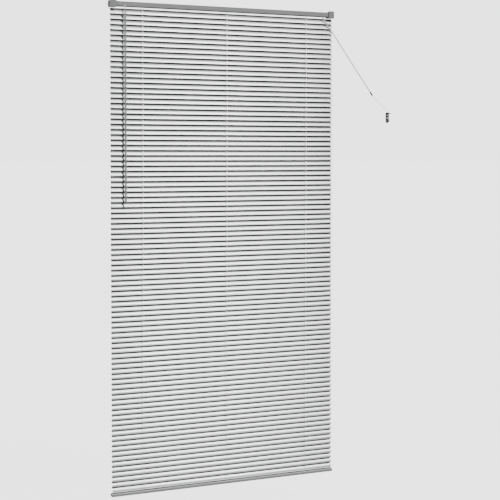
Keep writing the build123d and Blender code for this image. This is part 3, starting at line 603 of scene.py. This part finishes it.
STRAND_ENDS = {
    "left": (0.69472, -0.01570, -0.32745),
    "centre": (0.69353, -0.01570, -0.32836),
    "right": (0.69234, -0.01570, -0.32927),
}
PULL_ROUTE = [
    (0.70327, -0.01530, -0.34104),
    (0.70814, -0.01510, -0.34739),
    (0.7890, -0.0080, -0.4105),
    (0.79315, -0.0080, -0.41275),
    (0.79315, -0.0080, -0.4440),
    (0.79315, -0.0080, -0.44965),
    (0.78285, -0.0080, -0.44965),
    (0.78285, -0.0080, -0.4440),
    (0.7800, -0.0080, -0.46665),
]


def strand_maker(name):
    """A taut strand from the lock's mouth to the connector."""

    def make(bm):
        add_tube(bm, ROUTES[name][-1], STRAND_ENDS[name], CORD_RADIUS, CORD_SIDES)

    return make


# Cord cleat
CLEAT_X = 0.788
CLEAT_Z = -0.4375
CLEAT_RADIUS = 0.008
CLEAT_HALF_STRAIGHT = 0.016
CLEAT_DEPTH = 0.003
CLEAT_SOFT_EDGE = 0.0011
CLEAT_HOLES = (-0.4265, -0.4385)
CLEAT_HOLE_RADIUS = 0.0019
CLEAT_SINK_RADIUS = 0.0034
CLEAT_SINK_DEPTH = 0.0016
CLEAT_SEGMENTS = 32
CLEAT_EDGE_STEPS = 3
DRILL_DEPTH = 4 * CLEAT_DEPTH
NEAR_FRONT = 0.9
LEAST_TURN = math.radians(1)
HORN_ROOT_Y = -0.0012
HORN_SIDES = 12
# Each step of a horn: how far it goes along Y and Z, and how much its section shrinks
UPPER_HORN_ROOT = (-0.4208, (0.0040, 0.0031))
UPPER_HORN = (
    (-0.0022, 0.0003, 0.90),
    (-0.0060, 0.0008, 0.94),
    (-0.0075, 0.0006, 0.94),
    (-0.0075, 0.0000, 1.02),
    (-0.0036, -0.0005, 0.98),
    (-0.0014, -0.0004, 0.62),
)
LOWER_HORN_ROOT = (-0.4446, (0.0040, 0.0030))
LOWER_HORN = (
    (-0.0022, -0.0001, 0.90),
    (-0.0050, -0.0002, 0.92),
    (-0.0032, -0.0008, 1.0),
    (-0.0016, -0.0026, 1.0),
    (-0.0006, -0.0046, 0.98),
    (-0.0001, -0.0040, 0.92),
    (0.0002, -0.0014, 0.60),
)
QUARTER_TURN = (math.pi / 2, 0, 0)


def model_horn(root, steps):
    """A round section on the wall plate, drawn out and bent step by step."""
    root_z, (half_wide, half_thick) = root
    horn = add_primitive(
        bpy.ops.mesh.primitive_circle_add,
        vertices=HORN_SIDES,
        radius=half_wide,
        fill_type="NGON",
        location=(CLEAT_X, HORN_ROOT_Y, root_z),
        rotation=QUARTER_TURN,
    )
    bpy.ops.object.mode_set(mode="OBJECT")
    bpy.ops.object.transform_apply()
    bpy.ops.object.mode_set(mode="EDIT")
    bpy.ops.mesh.select_all(action="SELECT")
    at = Vector((CLEAT_X, HORN_ROOT_Y, root_z))
    bpy.ops.transform.resize(value=(1, 1, half_thick / half_wide), center_override=at)
    facing = Vector((0, -1, 0))
    for along_y, along_z, shrink in steps:
        step = Vector((0, along_y, along_z))
        bpy.ops.mesh.extrude_region_move(TRANSFORM_OT_translate={"value": step})
        at = at + step
        turn = facing.rotation_difference(step)
        lean = turn.angle if turn.axis.x > 0 else -turn.angle
        if abs(lean) > LEAST_TURN:
            bpy.ops.transform.rotate(value=-lean, orient_axis="X", center_override=at)
        bpy.ops.transform.resize(value=(shrink, shrink, shrink), center_override=at)
        facing = step
    bpy.ops.mesh.select_all(action="SELECT")
    bpy.ops.mesh.normals_make_consistent(inside=False)
    bpy.ops.object.mode_set(mode="OBJECT")
    apply_modifier(horn, "SUBSURF", levels=2, render_levels=2)
    return horn


def join_solids(piece, other, operation):
    """Joins or cuts a piece with another, which is used up."""
    apply_modifier(piece, "BOOLEAN", object=other, operation=operation, solver="EXACT")
    bpy.data.objects.remove(other)


def model_cleat():
    """Moulded cleat: a long plate with a soft front edge, two horns and two countersunk holes."""
    cleat = add_primitive(
        bpy.ops.mesh.primitive_cylinder_add,
        vertices=CLEAT_SEGMENTS,
        radius=CLEAT_RADIUS,
        depth=CLEAT_DEPTH,
        location=(CLEAT_X, -CLEAT_DEPTH / 2, CLEAT_Z),
        rotation=QUARTER_TURN,
    )
    bpy.ops.object.mode_set(mode="OBJECT")
    bpy.ops.object.transform_apply()
    bpy.ops.object.mode_set(mode="EDIT")
    for side in (-1, 1):
        choose("VERT", lambda at: side * (at.z - CLEAT_Z) > 0)
        bpy.ops.transform.translate(value=(0, 0, side * CLEAT_HALF_STRAIGHT))
    choose("EDGE", lambda at: at.y < -CLEAT_DEPTH * NEAR_FRONT)
    bpy.ops.mesh.bevel(offset=CLEAT_SOFT_EDGE, segments=CLEAT_EDGE_STEPS, affect="EDGES")
    bpy.ops.object.mode_set(mode="OBJECT")
    join_solids(cleat, model_horn(UPPER_HORN_ROOT, UPPER_HORN), "UNION")
    join_solids(cleat, model_horn(LOWER_HORN_ROOT, LOWER_HORN), "UNION")
    for z in CLEAT_HOLES:
        cutters = (
            (CLEAT_HOLE_RADIUS, CLEAT_HOLE_RADIUS, DRILL_DEPTH, -CLEAT_DEPTH / 2),
            (CLEAT_SINK_RADIUS, CLEAT_HOLE_RADIUS, CLEAT_SINK_DEPTH, CLEAT_SINK_DEPTH / 2 - CLEAT_DEPTH),
        )
        for front, back, depth, y in cutters:
            cutter = add_primitive(
                bpy.ops.mesh.primitive_cone_add,
                vertices=CLEAT_SEGMENTS,
                radius1=back,
                radius2=front,
                depth=depth,
                location=(CLEAT_X, y, z),
                rotation=QUARTER_TURN,
            )
            bpy.ops.object.mode_set(mode="OBJECT")
            join_solids(cleat, cutter, "DIFFERENCE")
    return finish_piece(cleat, "moulded_cleat", CLEAT, "frame", ["cord_cleat"])


FLOOR_COLOUR = (0.12, 0.12, 0.12)


def make_floor():
    """A plain floor that the camera sees as bright as the backdrop."""
    bpy.ops.mesh.primitive_plane_add(size=FLOOR_SIZE, location=(0, 0, FLOOR_HEIGHT))
    floor = bpy.context.object
    floor.name = "floor"
    paint = finish_material("floor_paint", FLOOR_COLOUR, 0.0, 0.7, 0.01, 0.02)
    nodes = paint.node_tree.nodes
    path = nodes.new("ShaderNodeLightPath")
    glow = nodes.new("ShaderNodeMath")
    glow.operation = "MULTIPLY"
    glow.inputs[1].default_value = FLOOR_GLOW
    paint.node_tree.links.new(path.outputs["Is Camera Ray"], glow.inputs[0])
    shader = nodes["Principled BSDF"]
    shader.inputs["Emission Color"].default_value = WHITE_LIGHT
    paint.node_tree.links.new(glow.outputs[0], shader.inputs["Emission Strength"])
    floor.data.materials.append(paint)


set_camera()
set_lights()
make_floor()
paint_cad_nodes()

slats = make_slats()
lifted = []
for name, place in LADDER_PLACES.items():
    ladder = add_cord_piece(f"string_ladder_{name}", ladder_maker(place), LADDER, [f"ladder_{name}"])
    drop = add_cord_piece(f"braided_drop_{name}", lift_cord_maker(place), CORD, [f"lift_cord_{name}"])
    lifted += [ladder, drop]
    add_route(f"braided_run_{name}", ROUTES[name], CORD_RADIUS, "frame", [f"lift_cord_run_{name}"])
    add_cord_piece(f"braided_strand_{name}", strand_maker(name), CORD, [f"pull_strand_{name}"])
model_cleat()
add_route("braided_pull_cord", PULL_ROUTE, PULL_CORD_RADIUS, "frame", ["pull_cord"])
for piece in lifted:
    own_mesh(piece)
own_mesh(slats)
